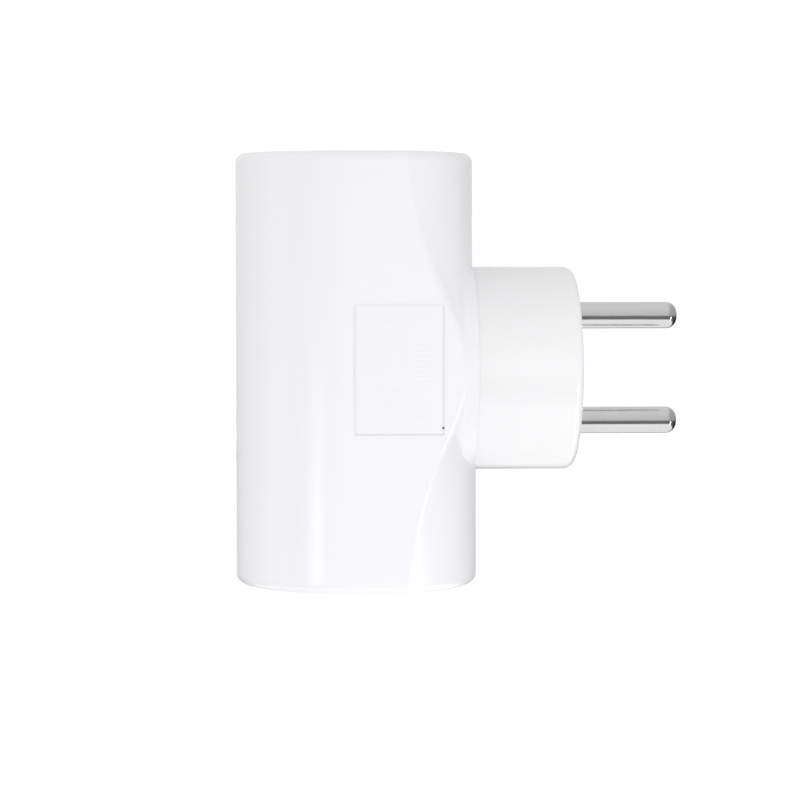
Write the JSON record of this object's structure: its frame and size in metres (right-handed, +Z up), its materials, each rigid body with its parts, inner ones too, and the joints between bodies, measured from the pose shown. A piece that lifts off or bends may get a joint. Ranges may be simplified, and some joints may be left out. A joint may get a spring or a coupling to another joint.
{
  "type": "powerline adapter",
  "caption": "Plug-in powerline network adapter: upright round-fronted white housing on a round two-pin mains plug, with a network socket underneath.",
  "frame": {"origin": "centre of the plug's mating face, midway between the two pins", "axes": "+X out of the plug face along the pins, towards the wall; +Z up, from the lower pin to the upper pin; -Y the side with the rating label"},
  "size_m": [0.08, 0.0411, 0.077],
  "materials": {
    "white_shell": "smooth semi-gloss white ABS",
    "plug_plastic": "smooth semi-gloss white polycarbonate",
    "button_plastic": "satin white",
    "label_film": "white polyester film with pale grey print",
    "nickel": "nickel-plated brass",
    "brass_strip": "stamped brass",
    "board_laminate": "green solder-masked laminate",
    "screw_steel": "zinc-plated steel",
    "gold_pins": "gold-plated",
    "black_moulding": "black moulded thermoplastic",
    "barrier_film": "translucent insulating film",
    "tin_plate": "tin-plated steel",
    "switch_moulding": "black nylon",
    "stem_moulding": "natural nylon",
    "led_body": "clear resin over a white reflector",
    "clear_guide": "frosted clear acrylic",
    "chip_epoxy": "moulded epoxy",
    "pad_silicone": "soft silicone",
    "sink_aluminium": "extruded, bare",
    "crystal_can": "nickel-plated can",
    "ferrite": "sintered ferrite",
    "copper_wire": "enamelled copper wire",
    "film_box": "yellow moulded box",
    "coil_tape": "yellow polyester tape",
    "bobbin_moulding": "black phenolic",
    "can_sleeve": "dark heat-shrunk sleeve",
    "blue_coating": "blue dipped epoxy",
    "fuse_cap": "brown moulded cap"
  },
  "bodies": {
    "housing": {"front_cover": "white_shell", "rear_housing": "white_shell", "rating_label": "label_film", "plug_body": "plug_plastic", "upper_pin": "nickel", "lower_pin": "nickel", "upper_pin_strap": "brass_strip", "lower_pin_strap": "brass_strip", "main_board": "board_laminate", "power_board": "board_laminate", "main_board_screws": "screw_steel", "power_board_screws": "screw_steel", "link_pins": "gold_pins", "link_header": "black_moulding", "insulating_sheet": "barrier_film", "jack_housing": "black_moulding", "jack_shield": "tin_plate", "jack_contacts": "gold_pins", "pair_switch_body": "switch_moulding", "reset_switch_body": "switch_moulding", "status_leds": "led_body", "light_guide": "clear_guide", "powerline_chip": "chip_epoxy", "thermal_pad": "pad_silicone", "heat_sink": "sink_aluminium", "memory_chip": "chip_epoxy", "clock_crystal": "crystal_can", "network_transformer": "black_moulding", "coupling_core": "ferrite", "coupling_winding": "copper_wire", "coupling_capacitor": "film_box", "transformer_core": "ferrite", "transformer_bobbin": "bobbin_moulding", "transformer_winding": "coil_tape", "bulk_capacitor": "can_sleeve", "output_capacitor": "can_sleeve", "choke_core": "ferrite", "choke_winding_left": "copper_wire", "choke_winding_right": "copper_wire", "bridge_rectifier": "chip_epoxy", "power_switch_chip": "chip_epoxy", "optical_coupler": "chip_epoxy", "output_diode": "chip_epoxy", "output_inductor": "ferrite", "safety_capacitor": "blue_coating", "mains_fuse": "fuse_cap", "surge_absorber": "blue_coating", "filter_capacitor": "film_box"},
    "pair_button": {"pair_button": "button_plastic", "pair_switch_stem": "stem_moulding"},
    "reset_switch_stem": {"reset_switch_stem": "stem_moulding"}
  },
  "joints": [
    {"name": "pair_button_press", "type": "slide", "parent": "housing", "child": "pair_button", "axis": [1, 0, 0], "range_m": [0, 0.0003], "stiffness_N_per_m": 2000, "springref_m": -0.0005},
    {"name": "reset_stem_press", "type": "slide", "parent": "housing", "child": "reset_switch_stem", "axis": [0, 0, 1], "range_m": [0, 0.00025], "stiffness_N_per_m": 2000, "springref_m": -0.0005}
  ]
}
